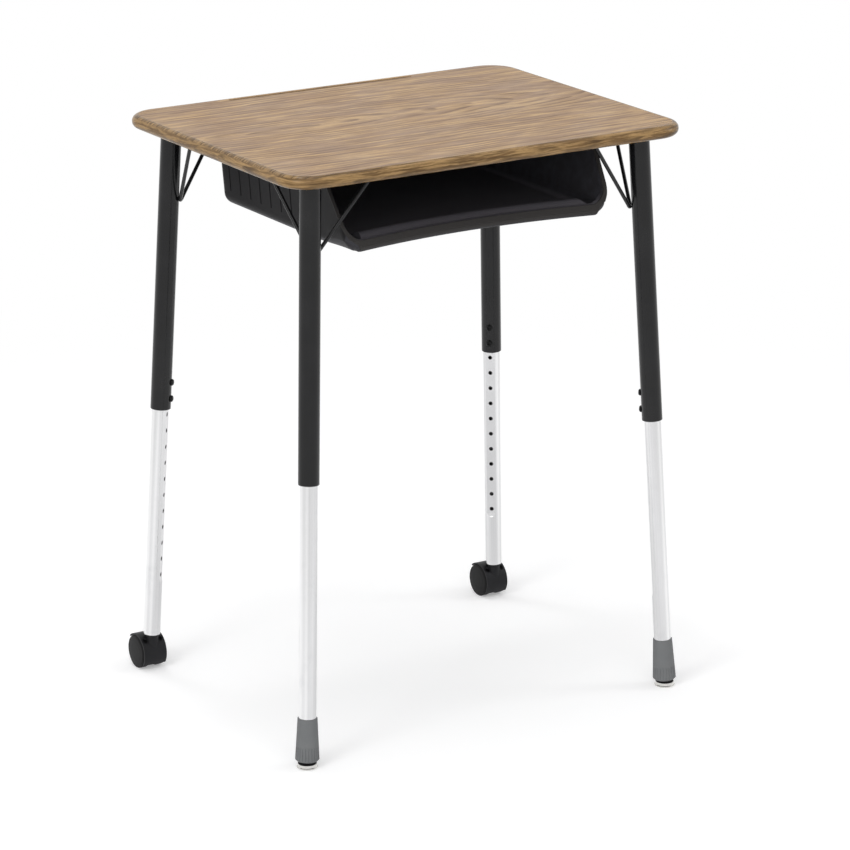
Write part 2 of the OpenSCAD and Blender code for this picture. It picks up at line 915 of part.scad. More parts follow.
// Plumb line of a caster's stem, at floor level
module on_stem(sx) {
    placed()
        translate([sx * stem_x, stem_y, 0])
            children();
}

module stem_socket(sx, sy) {
    color("#2a2a2c")
        difference() {
            on_leg(sx, sy)
                translate([0, 0, -back_end_s]) {
                    translate([0, 0, -1.5])
                        cylinder(h = 1.5, r = lower_r);
                    translate([0, 0, -0.5])
                        cylinder(h = stem_in + 5, r = lower_r - lower_wall - seat_gap);
                }
            on_stem(sx)
                translate([0, 0, back_tube_z - 6])
                    cylinder(h = stem_in + 6.3, r = stem_d / 2 + run_gap);
        }
}

module caster_stem(sx) {
    color("silver")
        on_stem(sx) {
            translate([0, 0, boss_top - 0.5])
                cylinder(h = back_tube_z + stem_in - boss_top + 0.5, r = stem_d / 2);
            translate([0, 0, boss_top])
                cylinder(h = 0.9, r = stem_d / 2 + 2);
            translate([0, 0, spigot_z + 0.2])
                cylinder(h = boss_top - spigot_z, r = spigot_d / 2);
        }
}

// Turns its children so that +Z lies along the axle
module on_axle(sx) {
    on_stem(sx)
        translate([0, trail, wheel_r])
            rotate([0, 90, 0])
                children();
}

module caster_hood(sx) {
    sweep = 90 + hood_front + hood_back;
    color("#2e2e30")
        difference() {
            union() {
                on_stem(sx)
                    translate([0, trail, wheel_r])
                        rotate([90, 0, 90]) {
                            rotate([0, 0, 90 - hood_back])
                                rotate_extrude(angle = sweep)
                                    translate([hood_in_r, -hood_w / 2])
                                        square([hood_t, hood_w]);
                            linear_extrude(web_t, center = true)
                                web_side();
                        }
                on_stem(sx)
                    difference() {
                        translate([0, 0, wheel_r])
                            cylinder(h = boss_top - wheel_r, r = 9.5);
                        translate([-20, trail, wheel_r])
                            rotate([0, 90, 0])
                                cylinder(h = 40, r = hood_in_r + hood_t / 2);
                    }
            }
            on_stem(sx)
                translate([0, 0, spigot_z])
                    cylinder(h = 40, r = spigot_d / 2 + seat_gap);
            on_stem(sx)
                translate([0, 0, boss_top - 0.5])
                    cylinder(h = 2, r = stem_d / 2 + seat_gap);
            for (s = [-1, 1])
                on_stem(sx)
                    translate([s * 12.6, -1, wheel_r + 10])
                        cylinder(h = 30, r = 3.6);
            on_axle(sx)
                translate([0, 0, -web_t])
                    cylinder(h = 2 * web_t, r = axle_d / 2 + seat_gap);
        }
}

// The web between the wheels, seen from the side with the axle at the origin
module web_side() {
    circle(r = axle_d / 2 + 4);
    intersection() {
        circle(r = hood_in_r + 0.5);
        polygon([
            [4, 0],
            [2, hood_out_r + 2],
            [-hood_out_r - 2, hood_out_r + 2],
            [-hood_out_r - 2, -2],
            [-4, -6]
        ]);
    }
}

module caster_axle(sx) {
    len = pair_w - 7;
    color("silver")
        on_axle(sx)
            translate([0, 0, -len / 2])
                cylinder(h = len, r = axle_d / 2);
}

// One wheel, s = -1 or 1 for the left or right of the pair, made as one turned profile
module wheel(sx, s) {
    out = pair_w / 2;
    hub_r = axle_d / 2 + 3.5;
    color("#29292b")
        on_axle(sx)
            mirror([0, 0, s < 0 ? 1 : 0])
                rotate_extrude()
                    polygon([
                        [axle_d / 2 + run_gap, wheel_in],
                        [hub_r, wheel_in],
                        [hub_r, out - 4.5],
                        [wheel_r - 5.5, out - 4.5],
                        [wheel_r - 4, wheel_in + 0.6],
                        [wheel_r - 2.4, wheel_in],
                        [wheel_r - 0.7, wheel_in + 0.9],
                        [wheel_r, wheel_in + 2.6],
                        [wheel_r, out - 2.6],
                        [wheel_r - 0.7, out - 1.5],
                        [wheel_r - 1.6, out - 1.2],
                        [wheel_r - 2.4, out - 1.4],
                        [wheel_r - 3.2, out - 0.8],
                        [wheel_r * 0.55, out - 0.2],
                        [wheel_r * 0.2, out],
                        [0, out],
                        [0, out - 2.8],
                        [axle_d / 2 + run_gap, out - 2.8]
                    ]);
}

top_laminate();
top_core();
top_backer();
top_edge();
book_box();
box_screws();
mount_plate(-1, -1);  // mount_plate_fl
mount_plate(1, -1);  // mount_plate_fr
mount_plate(-1, 1);  // mount_plate_bl
mount_plate(1, 1);  // mount_plate_br
plate_screws();
upper_leg(-1, -1);  // upper_leg_fl
upper_leg(1, -1);  // upper_leg_fr
upper_leg(-1, 1);  // upper_leg_bl
upper_leg(1, 1);  // upper_leg_br
leg_brace(-1, -1);  // leg_brace_fl
leg_brace(1, -1);  // leg_brace_fr
leg_brace(-1, 1);  // leg_brace_bl
leg_brace(1, 1);  // leg_brace_br
height_screws();
lower_leg(-1, -1, front_end_s);  // lower_leg_fl
lower_leg(1, -1, front_end_s);  // lower_leg_fr
lower_leg(-1, 1, back_end_s);  // lower_leg_bl
lower_leg(1, 1, back_end_s);  // lower_leg_br
foot_cap(-1, -1);  // foot_cap_fl
foot_cap(1, -1);  // foot_cap_fr
glide_stud(-1, -1);  // glide_stud_fl
glide_stud(1, -1);  // glide_stud_fr
glide_washer(-1, -1);  // glide_washer_fl
glide_washer(1, -1);  // glide_washer_fr
glide_base(-1, -1);  // glide_base_fl
glide_base(1, -1);  // glide_base_fr
stem_socket(-1, 1);  // stem_socket_bl
stem_socket(1, 1);  // stem_socket_br
caster_stem(-1);  // caster_stem_bl
caster_stem(1);  // caster_stem_br
caster_hood(-1);  // caster_hood_bl
caster_hood(1);  // caster_hood_br
caster_axle(-1);  // caster_axle_bl
caster_axle(1);  // caster_axle_br
wheel(-1, -1);  // wheel_bl_left
wheel(-1, 1);  // wheel_bl_right
wheel(1, -1);  // wheel_br_left
wheel(1, 1);  // wheel_br_right
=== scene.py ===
import math

import bmesh
import bpy
from mathutils import Matrix, Vector


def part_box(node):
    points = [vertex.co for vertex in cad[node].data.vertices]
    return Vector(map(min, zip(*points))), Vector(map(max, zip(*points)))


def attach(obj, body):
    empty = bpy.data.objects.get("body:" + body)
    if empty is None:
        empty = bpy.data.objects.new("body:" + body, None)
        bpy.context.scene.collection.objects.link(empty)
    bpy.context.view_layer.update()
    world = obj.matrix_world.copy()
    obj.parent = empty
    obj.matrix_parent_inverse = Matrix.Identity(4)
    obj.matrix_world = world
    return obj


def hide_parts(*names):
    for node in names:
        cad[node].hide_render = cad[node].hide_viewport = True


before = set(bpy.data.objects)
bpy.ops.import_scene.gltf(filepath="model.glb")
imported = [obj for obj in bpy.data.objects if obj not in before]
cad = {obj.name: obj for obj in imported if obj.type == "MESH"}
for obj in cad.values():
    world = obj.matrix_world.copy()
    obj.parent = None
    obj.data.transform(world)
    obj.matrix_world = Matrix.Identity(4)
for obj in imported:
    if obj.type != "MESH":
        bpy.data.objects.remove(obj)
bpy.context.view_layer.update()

# The desk is photographed from the front left, from a little above the top, with a long lens.
# The view was fitted to the leg ends, the corners of the top and the rows of height holes.
camera_at = Vector((-2.95397, -4.83628, 2.13693))
camera_yaw, camera_pitch, camera_roll = (math.radians(a) for a in (31.775, 17.09, -0.113))
forward = Vector((
    math.sin(camera_yaw) * math.cos(camera_pitch),
    math.cos(camera_yaw) * math.cos(camera_pitch),
    -math.sin(camera_pitch),
))
level = Vector((math.cos(camera_yaw), -math.sin(camera_yaw), 0))
upward = level.cross(forward)
right = level * math.cos(camera_roll) + upward * math.sin(camera_roll)
up = upward * math.cos(camera_roll) - level * math.sin(camera_roll)
camera = bpy.data.objects.new("photo_camera", bpy.data.cameras.new("photo_camera"))
camera.matrix_world = Matrix.Translation(camera_at) @ Matrix((right, up, -forward)).transposed().to_4x4()
camera.data.lens = 169.0
camera.data.sensor_width = 36.0
camera.data.clip_end = 60.0
bpy.context.scene.collection.objects.link(camera)
bpy.context.scene.camera = camera
bpy.context.scene.view_settings.view_transform = "Standard"


# The studio: a white floor that runs out into a white surround. A dome that is brightest at the
# front left, two large side lamps and two lamps above light the desk softly.
def feed(node, sockets):
    """Gives sockets of a node their values, or the outputs that feed them."""
    for key, value in sockets.items():
        if isinstance(value, bpy.types.NodeSocket):
            node.id_data.links.new(value, node.inputs[key])
        else:
            node.inputs[key].default_value = value


def lay(tree, kind, sockets=None, **settings):
    """Lays one node, with its settings and what feeds its sockets."""
    new = tree.nodes.new(kind)
    for key, value in settings.items():
        setattr(new, key, value)
    feed(new, sockets or {})
    return new


def tree_of(*values):
    """The node tree of the first socket among some values."""
    return next(value.id_data for value in values if isinstance(value, bpy.types.NodeSocket))


def calc(operation, a, b=0.0, c=0.0):
    """One sum on values."""
    return lay(tree_of(a, b, c), "ShaderNodeMath", {0: a, 1: b, 2: c}, operation=operation).outputs[0]


def unseen_fill(tree):
    """1 where the camera, a mirror or glass looks at the surround, 0 for the light it gives."""
    path = lay(tree, "ShaderNodeLightPath")
    seen = calc("MAXIMUM", path.outputs["Is Camera Ray"], path.outputs["Is Glossy Ray"])
    return calc("MAXIMUM", seen, path.outputs["Is Transmission Ray"])


surround = bpy.data.worlds.new("studio_surround")
surround.use_nodes = True
bpy.context.scene.world = surround
sky = surround.node_tree
sky.nodes.clear()
sky_way = lay(sky, "ShaderNodeTexCoord").outputs["Generated"]
to_front_left = (-0.69, -0.71, 0.10)
dome_level, front_left_level = 0.44, 2.4
front_left = lay(sky, "ShaderNodeVectorMath", {0: sky_way, 1: to_front_left}, operation="DOT_PRODUCT")
front_fill = lay(sky, "ShaderNodeMapRange", {
    0: front_left.outputs["Value"], 1: 0.55, 2: 0.97, 3: dome_level, 4: front_left_level,
}, interpolation_type="SMOOTHSTEP")
dome = lay(sky, "ShaderNodeBackground", {"Color": (1, 1, 1, 1), "Strength": front_fill.outputs[0]})
paper = lay(sky, "ShaderNodeBackground", {"Color": (1, 1, 1, 1), "Strength": 1.0})
chosen = lay(sky, "ShaderNodeMixShader", {0: unseen_fill(sky), 1: dome.outputs[0], 2: paper.outputs[0]})
lay(sky, "ShaderNodeOutputWorld", {0: chosen.outputs[0]})

floor_mesh = bpy.data.meshes.new("studio_floor")
floor_reach = 9
floor_corners = [(x * floor_reach, y * floor_reach, 0) for x, y in ((-1, -1), (1, -1), (1, 1), (-1, 1))]
floor_mesh.from_pydata(floor_corners, [], [(0, 1, 2, 3)])
studio_floor = bpy.data.objects.new("studio_floor", floor_mesh)
bpy.context.scene.collection.objects.link(studio_floor)
floor_paint = bpy.data.materials.new("studio_floor")
floor_paint.use_nodes = True
floor_tree = floor_paint.node_tree
floor_tree.nodes.clear()
spot = lay(floor_tree, "ShaderNodeTexCoord").outputs["Object"]
away = lay(floor_tree, "ShaderNodeVectorMath", {0: spot}, operation="LENGTH").outputs["Value"]
fade_from, fade_to = 0.9, 2.2
fade = lay(floor_tree, "ShaderNodeMapRange", {
    0: away, 1: fade_from, 2: fade_to,
}, interpolation_type="SMOOTHSTEP").outputs[0]
matt = lay(floor_tree, "ShaderNodeBsdfDiffuse", {"Color": (0.93, 0.93, 0.935, 1)})
floor_glow = 0.25
glow = lay(floor_tree, "ShaderNodeEmission", {
    "Color": (1, 1, 1, 1), "Strength": calc("MULTIPLY", unseen_fill(floor_tree), floor_glow),
})
lit = lay(floor_tree, "ShaderNodeAddShader", {0: matt.outputs[0], 1: glow.outputs[0]})
white = lay(floor_tree, "ShaderNodeEmission", {"Color": (1, 1, 1, 1), "Strength": 1.0})
far_and_seen = calc("MULTIPLY", fade, unseen_fill(floor_tree))
merged = lay(floor_tree, "ShaderNodeMixShader", {0: far_and_seen, 1: lit.outputs[0], 2: white.outputs[0]})
lay(floor_tree, "ShaderNodeOutputMaterial", {0: merged.outputs[0]})
floor_mesh.materials.append(floor_paint)

desk_middle = Vector((0, 0, 0.5))
for lamp_name, lamp_at, lamp_size, lamp_power in (
    ("lamp_left", (-2.6, -1.1, 2.5), (0.9, 1.5), 14),
    ("lamp_right", (2.7, -1.3, 2.1), (0.9, 1.5), 12),
    ("lamp_above", (-0.2, -0.2, 3.4), (2.2, 2.2), 24),
    ("lamp_small", (-0.27, 0.85, 3.6), (0.3, 0.3), 7),
):
    lamp_data = bpy.data.lights.new(lamp_name, "AREA")
    lamp_data.shape = "RECTANGLE"
    lamp_data.size, lamp_data.size_y = lamp_size
    lamp_data.energy = lamp_power
    lamp = bpy.data.objects.new(lamp_name, lamp_data)
    lamp.location = lamp_at
    lamp.rotation_euler = (desk_middle - Vector(lamp_at)).to_track_quat("-Z", "Y").to_euler()
    bpy.context.scene.collection.objects.link(lamp)


# The writing surface: a pressed wood-grain laminate sheet, 0.8 mm thick, glued on a core board.
# Its printed grain runs from left to right: long pale and grey-brown streaks, with fine dark pores.
def start_finish(name):
    """A new material, the outputs that say where on a piece it is, and its shader."""
    made = bpy.data.materials.new(name)
    made.use_nodes = True
    where = lay(made.node_tree, "ShaderNodeTexCoord").outputs
    return made, where, made.node_tree.nodes["Principled BSDF"]


def split(vector):
    """The x, y and z of a vector."""
    return lay(tree_of(vector), "ShaderNodeSeparateXYZ", {0: vector}).outputs


def join(x, y, z):
    """A vector from its x, y and z."""
    return lay(tree_of(x, y, z), "ShaderNodeCombineXYZ", {0: x, 1: y, 2: z}).outputs[0]


def noise(vector, scale, detail, rough=0.5, warp=0.0):
    """Soft noise of 0 to 1, with so many waves a metre."""
    made = lay(tree_of(vector), "ShaderNodeTexNoise", {
        "Vector": vector, "Scale": scale, "Detail": detail, "Roughness": rough, "Distortion": warp,
    })
    return made.outputs[0]


def spread(value, low, high, to_low=0.0, to_high=1.0):
    """Carries a value smoothly from one range to another, held at its ends."""
    sockets = {0: value, 1: low, 2: high, 3: to_low, 4: to_high}
    return lay(tree_of(value), "ShaderNodeMapRange", sockets, interpolation_type="SMOOTHSTEP").outputs[0]


def tone(factor, a, b):
    """Mixes two colours."""
    sockets = {0: factor, 6: a, 7: b}
    return lay(tree_of(factor, a, b), "ShaderNodeMix", sockets, data_type="RGBA").outputs[2]


def paint(r, g, b):
    """A colour given as it is seen on a screen, 0 to 255, turned to light."""
    light = (((c / 255 + 0.055) / 1.055) ** 2.4 if c > 10 else c / 3294.6 for c in (r, g, b))
    return (*light, 1.0)


def bump(shader, height, depth, strength):
    """Sinks or raises the surface by a height of 0 to 1 over a depth in metres."""
    made = lay(shader.id_data, "ShaderNodeBump", {"Height": height, "Distance": depth, "Strength": strength})
    feed(shader, {"Normal": made.outputs[0]})


def group_of(name, wants, gives):
    """Starts a node group: returns its tree, its inputs by name and the node for its outputs."""
    tree = bpy.data.node_groups.new(name, "ShaderNodeTree")
    for label, kind, value in wants:
        made = tree.interface.new_socket(label, in_out="INPUT", socket_type=kind)
        if value is not None:
            made.default_value = value
    for label, kind in gives:
        tree.interface.new_socket(label, in_out="OUTPUT", socket_type=kind)
    return tree, tree.nodes.new("NodeGroupInput").outputs, tree.nodes.new("NodeGroupOutput")


def placed_group(group, sockets):
    """Lays a node group in the material that feeds it: returns its outputs by name."""
    return lay(tree_of(*sockets.values()), "ShaderNodeGroup", sockets, node_tree=group).outputs


# Wood grain on a flat pattern: Run goes along the grain and Across goes over it, in metres.
# The year rings are those of a flat-sawn board: cut through a leaning trunk whose heart lies Deep
# under the face at Heart, they come out as long nested arches, a ring every Spacing.
grain_group, grain_in, grain_out = group_of(
    "wood grain",
    [("Run", "NodeSocketFloat", 0.0), ("Across", "NodeSocketFloat", 0.0), ("Seed", "NodeSocketFloat", 0.0),
     ("Size", "NodeSocketFloat", 1.0), ("Heart", "NodeSocketFloat", 0.0), ("Deep", "NodeSocketFloat", 0.06),
     ("Lean", "NodeSocketFloat", 0.1), ("Spacing", "NodeSocketFloat", 0.016),
     ("Sway", "NodeSocketFloat", 0.012)],
    [("Rings", "NodeSocketFloat"), ("Bands", "NodeSocketFloat"), ("Fibres", "NodeSocketFloat"),
     ("Pores", "NodeSocketFloat")],
)


def grain_noise(run_scale, across_scale, seed_step, detail, rough=0.5):
    """Noise drawn out along the grain, so many waves a metre each way."""
    at = join(
        calc("MULTIPLY", along, run_scale),
        calc("MULTIPLY", over, across_scale),
        calc("ADD", grain_in["Seed"], seed_step),
    )
    return noise(at, 1.0, detail, rough)


along = calc("DIVIDE", grain_in["Run"], grain_in["Size"])
over = calc("DIVIDE", grain_in["Across"], grain_in["Size"])
wander = calc("SUBTRACT", grain_noise(3.0, 7.0, 0.0, 2.0), 0.5)
shake = calc("SUBTRACT", grain_noise(16.0, 60.0, 3.0, 2.0), 0.5)
shake_share = 0.22
wander = calc("MULTIPLY_ADD", shake, shake_share, wander)
over = calc("MULTIPLY_ADD", wander, grain_in["Sway"], over)
side_off = calc("SUBTRACT", over, grain_in["Heart"])
depth_off = calc("MULTIPLY_ADD", along, grain_in["Lean"], grain_in["Deep"])
side_square = calc("POWER", side_off, 2.0)
radius = calc("SQRT", calc("MULTIPLY_ADD", depth_off, depth_off, side_square))
year = calc("FRACT", calc("DIVIDE", radius, grain_in["Spacing"]))
late = calc("MULTIPLY", spread(year, 0.25, 0.86), spread(year, 0.88, 0.99, 1.0, 0.0))
thick = grain_noise(11.0, 90.0, 14.0, 2.0)
feed(grain_out, {
    "Rings": calc("MULTIPLY", late, spread(thick, 0.34, 0.62)),
    "Bands": grain_noise(8.0, 105.0, 9.0, 4.0, 0.6),
    "Fibres": grain_noise(20.0, 360.0, 21.0, 3.0, 0.62),
    "Pores": spread(grain_noise(90.0, 900.0, 33.0, 1.0), 0.58, 0.70),
})

laminate, laminate_at, laminate_shader = start_finish("wood_laminate")
sheet_x, sheet_y, _ = split(laminate_at["Object"])
print_out = placed_group(grain_group, {
    "Run": sheet_x, "Across": sheet_y, "Seed": 2.3, "Heart": 0.015, "Deep": 0.03,
    "Lean": 0.16, "Spacing": 0.0105, "Sway": 0.035,
})
pinkish, tan, grey_line = paint(156, 130, 108), paint(191, 160, 120), paint(118, 94, 74)
fibre_brown, pore_brown = paint(140, 114, 91), paint(112, 90, 72)
sheet = tone(spread(print_out["Bands"], 0.40, 0.60), pinkish, tan)
sheet = tone(spread(print_out["Fibres"], 0.58, 0.38, 0.0, 0.62), sheet, fibre_brown)
sheet = tone(calc("MULTIPLY", print_out["Rings"], 0.9), sheet, grey_line)
sheet = tone(calc("MULTIPLY", print_out["Pores"], 0.25), sheet, pore_brown)
handled = spread(noise(laminate_at["Object"], 14.0, 3.0), 0.3, 0.7, 0.44, 0.54)
feed(laminate_shader, {"Base Color": sheet, "Roughness": handled, "Specular IOR Level": 0.15})
pebble = noise(laminate_at["Object"], 1900.0, 2.0)
bump(laminate_shader, calc("SUBTRACT", pebble, calc("MULTIPLY", print_out["Pores"], 0.8)), 0.00006, 0.6)


def coat(finish, *names):
    """Gives CAD pieces their finish."""
    for name in names:
        for slot in cad[name].material_slots:
            slot.material = finish


coat(laminate, "top_laminate")


# The core: a pressed board of wood particles in resin. It only shows in the pencil groove,
# where the cutter goes through the laminate, and it is stained dark brown there.
core_board, core_at, core_shader = start_finish("core_board")
core_x, core_y, _ = split(core_at["Object"])
core_out = placed_group(grain_group, {"Run": core_x, "Across": core_y, "Seed": 12.0, "Size": 0.5})
stain = tone(spread(core_out["Fibres"], 0.36, 0.64), paint(84, 63, 37), paint(122, 95, 58))
feed(core_shader, {"Base Color": stain, "Roughness": 0.5})
bump(core_shader, core_out["Fibres"], 0.0002, 0.5)
coat(core_board, "top_core")

# The backing sheet: a dark brown paper and resin sheet, glued under the core so that the top
# stays flat. It is dull and faintly mottled.
backer, backer_at, backer_shader = start_finish("backing_sheet")
mottle = noise(backer_at["Object"], 60.0, 4.0, 0.6)
resin_brown = tone(spread(mottle, 0.35, 0.65), paint(52, 42, 36), paint(70, 58, 49))
feed(backer_shader, {"Base Color": resin_brown, "Roughness": 0.6})
bump(backer_shader, noise(backer_at["Object"], 1100.0, 2.0), 0.00008, 0.5)
coat(backer, "top_backer")

# The edge: a half-round band moulded onto the core, printed and stained as golden brown wood.
# Its grain follows the side all the way round, and crosses its upper rim as short streaks.
core_low, core_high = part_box("top_core")
top_middle_y = (core_low[1] + core_high[1]) / 2
core_half_x, core_half_y = ((high - low) / 2 for low, high in zip(core_low[:2], core_high[:2]))
core_corner = 0.0385
band_corner = core_corner + 0.006
edge_band, edge_at, edge_shader = start_finish("edge_moulding")
edge_x, edge_y, edge_z = split(edge_at["Object"])
edge_y = calc("SUBTRACT", edge_y, top_middle_y)
straight_x, straight_y = core_half_x - core_corner, core_half_y - core_corner
far_x, far_y = calc("ABSOLUTE", edge_x), calc("ABSOLUTE", edge_y)
round_x = calc("MAXIMUM", calc("SUBTRACT", far_x, straight_x), 0.0)
round_y = calc("MAXIMUM", calc("SUBTRACT", far_y, straight_y), 0.0)
turn = calc("MULTIPLY", calc("ARCTAN2", round_x, round_y), band_corner)
from_front = calc("ADD", calc("MINIMUM", far_x, straight_x), turn)
from_front = calc("ADD", from_front, calc("SUBTRACT", straight_y, calc("MINIMUM", far_y, straight_y)))
half_way = straight_x + straight_y + band_corner * math.pi / 2
behind = calc("GREATER_THAN", edge_y, 0.0)
rest_of_way = calc("MULTIPLY", behind, calc("MULTIPLY_ADD", from_front, -2.0, 2 * half_way))
edge_run = calc("MULTIPLY", calc("ADD", from_front, rest_of_way), calc("SIGN", edge_x))
side_out = placed_group(grain_group, {
    "Run": edge_run, "Across": edge_z, "Seed": 7.7, "Size": 0.5,
    "Heart": 1.704, "Deep": 0.012, "Lean": 0.06, "Spacing": 0.0085, "Sway": 0.045,
})
rim_out = placed_group(grain_group, {
    "Run": edge_x, "Across": edge_y, "Seed": 2.3, "Size": 0.55,
    "Heart": 0.3, "Deep": 0.06, "Spacing": 0.012, "Sway": 0.02,
})
face_up = split(edge_at["Normal"])[2]
is_rim = spread(face_up, 0.60, 0.80)
honey, amber, umber = paint(158, 127, 84), paint(112, 86, 54), paint(68, 50, 29)


def stained(out, ring_part):
    """Golden brown, darker along the fibres and the year rings."""
    brown = tone(spread(out["Bands"], 0.41, 0.57), amber, honey)
    brown = tone(spread(out["Fibres"], 0.58, 0.4, 0.0, 0.32), brown, umber)
    return tone(calc("MULTIPLY", out["Rings"], ring_part), brown, umber)


edge_brown = tone(is_rim, stained(side_out, 0.75), stained(rim_out, 0.8))
edge_brown = tone(calc("MULTIPLY", side_out["Pores"], 0.3), edge_brown, paint(74, 55, 35))
joint_line = spread(calc("ABSOLUTE", edge_run), 2 * half_way - 0.0004, 2 * half_way - 0.0002)
edge_brown = tone(joint_line, edge_brown, paint(48, 36, 24))
feed(edge_shader, {"Base Color": edge_brown, "Roughness": 0.26, "Specular IOR Level": 0.2})
bump(edge_shader, calc("SUBTRACT", side_out["Fibres"], joint_line), 0.00008, 0.5)
coat(edge_band, "top_edge")


# The book box: one moulding in black plastic, bowed and raked in front, with fluted sides.
# Its surface is spark-eroded: a fine even grain that breaks up the highlights.
skin_group, moulded_in, moulded_out = group_of(
    "moulded skin",
    [("Place", "NodeSocketVector", None), ("Size", "NodeSocketFloat", 1.0),
     ("Dark", "NodeSocketColor", (0, 0, 0, 1)), ("Pale", "NodeSocketColor", (0, 0, 0, 1)),
     ("Dull", "NodeSocketFloat", 0.5)],
    [("Color", "NodeSocketColor"), ("Roughness", "NodeSocketFloat"), ("Height", "NodeSocketFloat")],
)
pits = noise(moulded_in["Place"], calc("DIVIDE", 1500.0, moulded_in["Size"]), 3.0, 0.6)
clouds = noise(moulded_in["Place"], calc("DIVIDE", 11.0, moulded_in["Size"]), 3.0, 0.55)
scuffs = noise(moulded_in["Place"], calc("DIVIDE", 70.0, moulded_in["Size"]), 5.0, 0.7, 1.5)
pale_clouds = calc("MULTIPLY", spread(clouds, 0.35, 0.65), 0.55)
pale_part = calc("MULTIPLY_ADD", spread(scuffs, 0.5, 0.75), 0.35, pale_clouds)
dull_clouds = calc("MULTIPLY_ADD", clouds, 0.16, -0.08)
feed(moulded_out, {
    "Color": tone(pale_part, moulded_in["Dark"], moulded_in["Pale"]),
    "Roughness": calc("ADD", moulded_in["Dull"], dull_clouds),
    "Height": calc("MULTIPLY_ADD", scuffs, 0.15, pits),
})


def moulded_plastic(name, dark, pale, dull, size, depth, shine):
    """A moulded plastic: its two tones, its roughness, the size and depth of its grain, and its gloss."""
    made, where, shader = start_finish(name)
    skin = placed_group(skin_group, {
        "Place": where["Object"], "Size": size, "Dark": paint(*dark), "Pale": paint(*pale), "Dull": dull,
    })
    feed(shader, {"Base Color": skin["Color"], "Roughness": skin["Roughness"], "Specular IOR Level": shine})
    bump(shader, skin["Height"], depth, 0.6)
    return made


# Its measures: the drafted side wall, the bow of its mouth, seen from above, and the rake of the mouth,
# which leans back above the lip. Its floor and top are read from the frame to the micrometre.
box_floor_z, wall_top_z = (round(end[2], 6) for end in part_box("book_box"))
wall_top_x = 0.2287
wall_lean = math.tan(math.radians(4.6))
wall_thick, floor_thick, back_inside_y = 0.0022, 0.0022, 0.158
bow_middle_y, bow_radius = -1.1195, 0.9214
rake_from_z, rake = 0.745, 0.662
soft = 0.001

# Its inside and the face of its mouth get a paler tone than the outside, the floor and ramp most of all.
# This is painted light, so that they still show in the shade under the top.
box_plastic = moulded_plastic("book_box_plastic", (16, 15, 17), (21, 20, 22), 0.5, 1.0, 0.0001, 0.13)
box_shader = box_plastic.node_tree.nodes["Principled BSDF"]
outside_tone = box_shader.inputs["Base Color"].links[0].from_socket
box_at = lay(box_plastic.node_tree, "ShaderNodeTexCoord").outputs
box_x, box_y, box_z = split(box_at["Object"])
inner_wall = calc("MULTIPLY_ADD", box_z, wall_lean, wall_top_x - wall_top_z * wall_lean - wall_thick)
in_width = spread(calc("SUBTRACT", inner_wall, calc("ABSOLUTE", box_x)), 0.0, soft)
in_height = spread(box_z, box_floor_z + floor_thick, box_floor_z + floor_thick + soft)
in_depth = spread(box_y, back_inside_y, back_inside_y - soft)
bow_off = calc("SUBTRACT", box_y, bow_middle_y)
from_bow = calc("SQRT", calc("MULTIPLY_ADD", box_x, box_x, calc("POWER", bow_off, 2.0)))
above_rake = calc("MAXIMUM", calc("SUBTRACT", box_z, rake_from_z), 0.0)
mouth_face = calc("MULTIPLY_ADD", above_rake, rake, bow_radius)
behind_lip = spread(calc("SUBTRACT", from_bow, mouth_face), 0.0, soft)
within_walls = calc("MULTIPLY", in_width, in_height)
inside = calc("MULTIPLY", within_walls, calc("MULTIPLY", in_depth, behind_lip))
waves_along, waves_across = 14.0, 60.0
inside_mottle_at = join(
    calc("MULTIPLY", box_x, waves_along),
    calc("MULTIPLY", box_y, waves_across),
    calc("MULTIPLY", box_z, waves_across),
)
inside_mottle = noise(inside_mottle_at, 1.0, 4.0, 0.6)
# The inside's paler tone is painted light; it varies at random over the inside.
inside_painted_light = tone(spread(inside_mottle, 0.35, 0.7), paint(50, 49, 52), paint(57, 57, 62))
painted_floor_light = spread(split(box_at["Normal"])[2], 0.6, 0.95)
# Faces turned up, the floor and the ramp, are painted paler still: painted light.
inside_painted_light = tone(painted_floor_light, inside_painted_light, paint(86, 84, 89))
# The face of the mouth, in front of the lip, is painted paler than the outside: painted light.
outside_with_painted_mouth = tone(behind_lip, paint(50, 48, 47), outside_tone)
feed(box_shader, {"Base Color": tone(inside, outside_with_painted_mouth, inside_painted_light)})

# Its two front lower corners are rounded in the mould like the corner of a tray. The side wall and the floor
# meet in an 18 mm round along the box, which opens out to a wider one where the front lip begins.
small_round = 0.018
wide_x, wide_z = 0.027, 0.037
bend_z = box_floor_z + wide_z
bend_x = wall_top_x - (wall_top_z - bend_z) * wall_lean - wide_x
opens_from, opens_to = -0.125, -0.200
ball_at, ball_wide, ball_high = (0.1985, -0.1995, 0.7525), 0.0215, 0.0182
lip_line, lip_line_half, lip_line_deep = 0.0094, 0.0006, 0.0007
lip_face_radius, lip_face_near = 0.920, 0.0012


def inside_wall(x, z):
    """Whether a point of the cross-section lies inside the box's drafted side, floor and small round."""
    if z < box_floor_z or x > wall_top_x - (wall_top_z - z) * wall_lean:
        return False
    mid_z = box_floor_z + small_round
    mid_x = wall_top_x - (wall_top_z - mid_z) * wall_lean - small_round
    return x < mid_x or z > mid_z or math.hypot(x - mid_x, z - mid_z) <= small_round


def wall_reach(dir_x, dir_z):
    """How far the box's outside is from the middle of the wide round, along one direction."""
    near, far = 0.0, 0.08
    for _ in range(30):  # halves the 80 mm down to far below a micrometre
        mid = (near + far) / 2
        if inside_wall(bend_x + dir_x * mid, bend_z + dir_z * mid):
            near = mid
        else:
            far = mid
    return near


